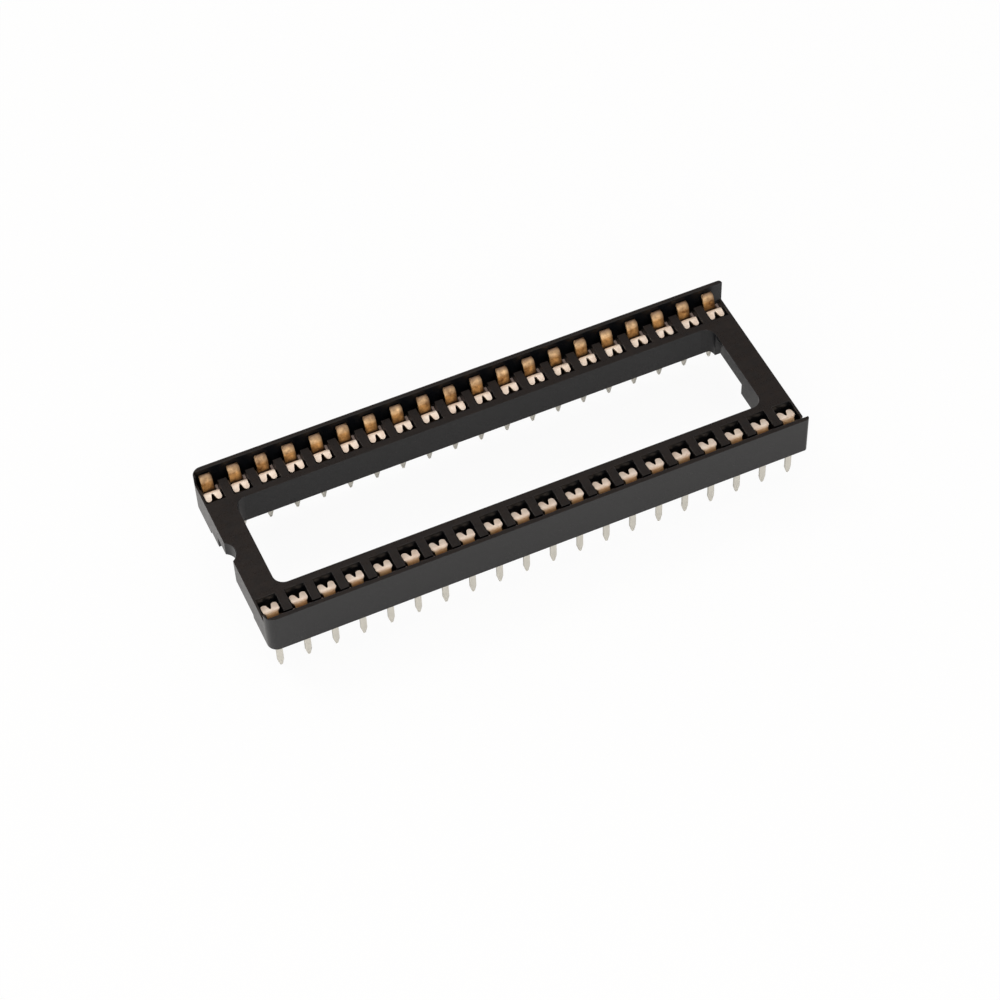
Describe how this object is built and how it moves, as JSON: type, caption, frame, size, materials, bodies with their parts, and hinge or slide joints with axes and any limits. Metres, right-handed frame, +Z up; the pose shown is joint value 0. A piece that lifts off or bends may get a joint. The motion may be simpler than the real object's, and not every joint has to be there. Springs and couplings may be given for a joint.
{
  "type": "ic socket",
  "caption": "Open-frame dual-in-line IC socket: black moulded frame with stamped spring contacts along both sides, an index notch at one end and solder tails below.",
  "frame": {"origin": "centre of the pin pattern, on the board plane that the rails stand on", "axes": "+X along the rows away from the index notch, +Y across to the far row, +Z up out of the board; the solder tails hang below zero"},
  "size_m": [0.051, 0.018, 0.008],
  "materials": {
    "housing_plastic": "semi-matt black glass-filled thermoplastic",
    "contact_metal": "tin-plated copper-alloy strip, bare bronze on the outer leaves"
  },
  "bodies": {
    "root": {"housing": "housing_plastic", "contact_01": "contact_metal", "contact_02": "contact_metal", "contact_03": "contact_metal", "contact_04": "contact_metal", "contact_05": "contact_metal", "contact_06": "contact_metal", "contact_07": "contact_metal", "contact_08": "contact_metal", "contact_09": "contact_metal", "contact_10": "contact_metal", "contact_11": "contact_metal", "contact_12": "contact_metal", "contact_13": "contact_metal", "contact_14": "contact_metal", "contact_15": "contact_metal", "contact_16": "contact_metal", "contact_17": "contact_metal", "contact_18": "contact_metal", "contact_19": "contact_metal", "contact_20": "contact_metal", "contact_21": "contact_metal", "contact_22": "contact_metal", "contact_23": "contact_metal", "contact_24": "contact_metal", "contact_25": "contact_metal", "contact_26": "contact_metal", "contact_27": "contact_metal", "contact_28": "contact_metal", "contact_29": "contact_metal", "contact_30": "contact_metal", "contact_31": "contact_metal", "contact_32": "contact_metal", "contact_33": "contact_metal", "contact_34": "contact_metal", "contact_35": "contact_metal", "contact_36": "contact_metal", "contact_37": "contact_metal", "contact_38": "contact_metal", "contact_39": "contact_metal", "contact_40": "contact_metal"}
  },
  "joints": []
}
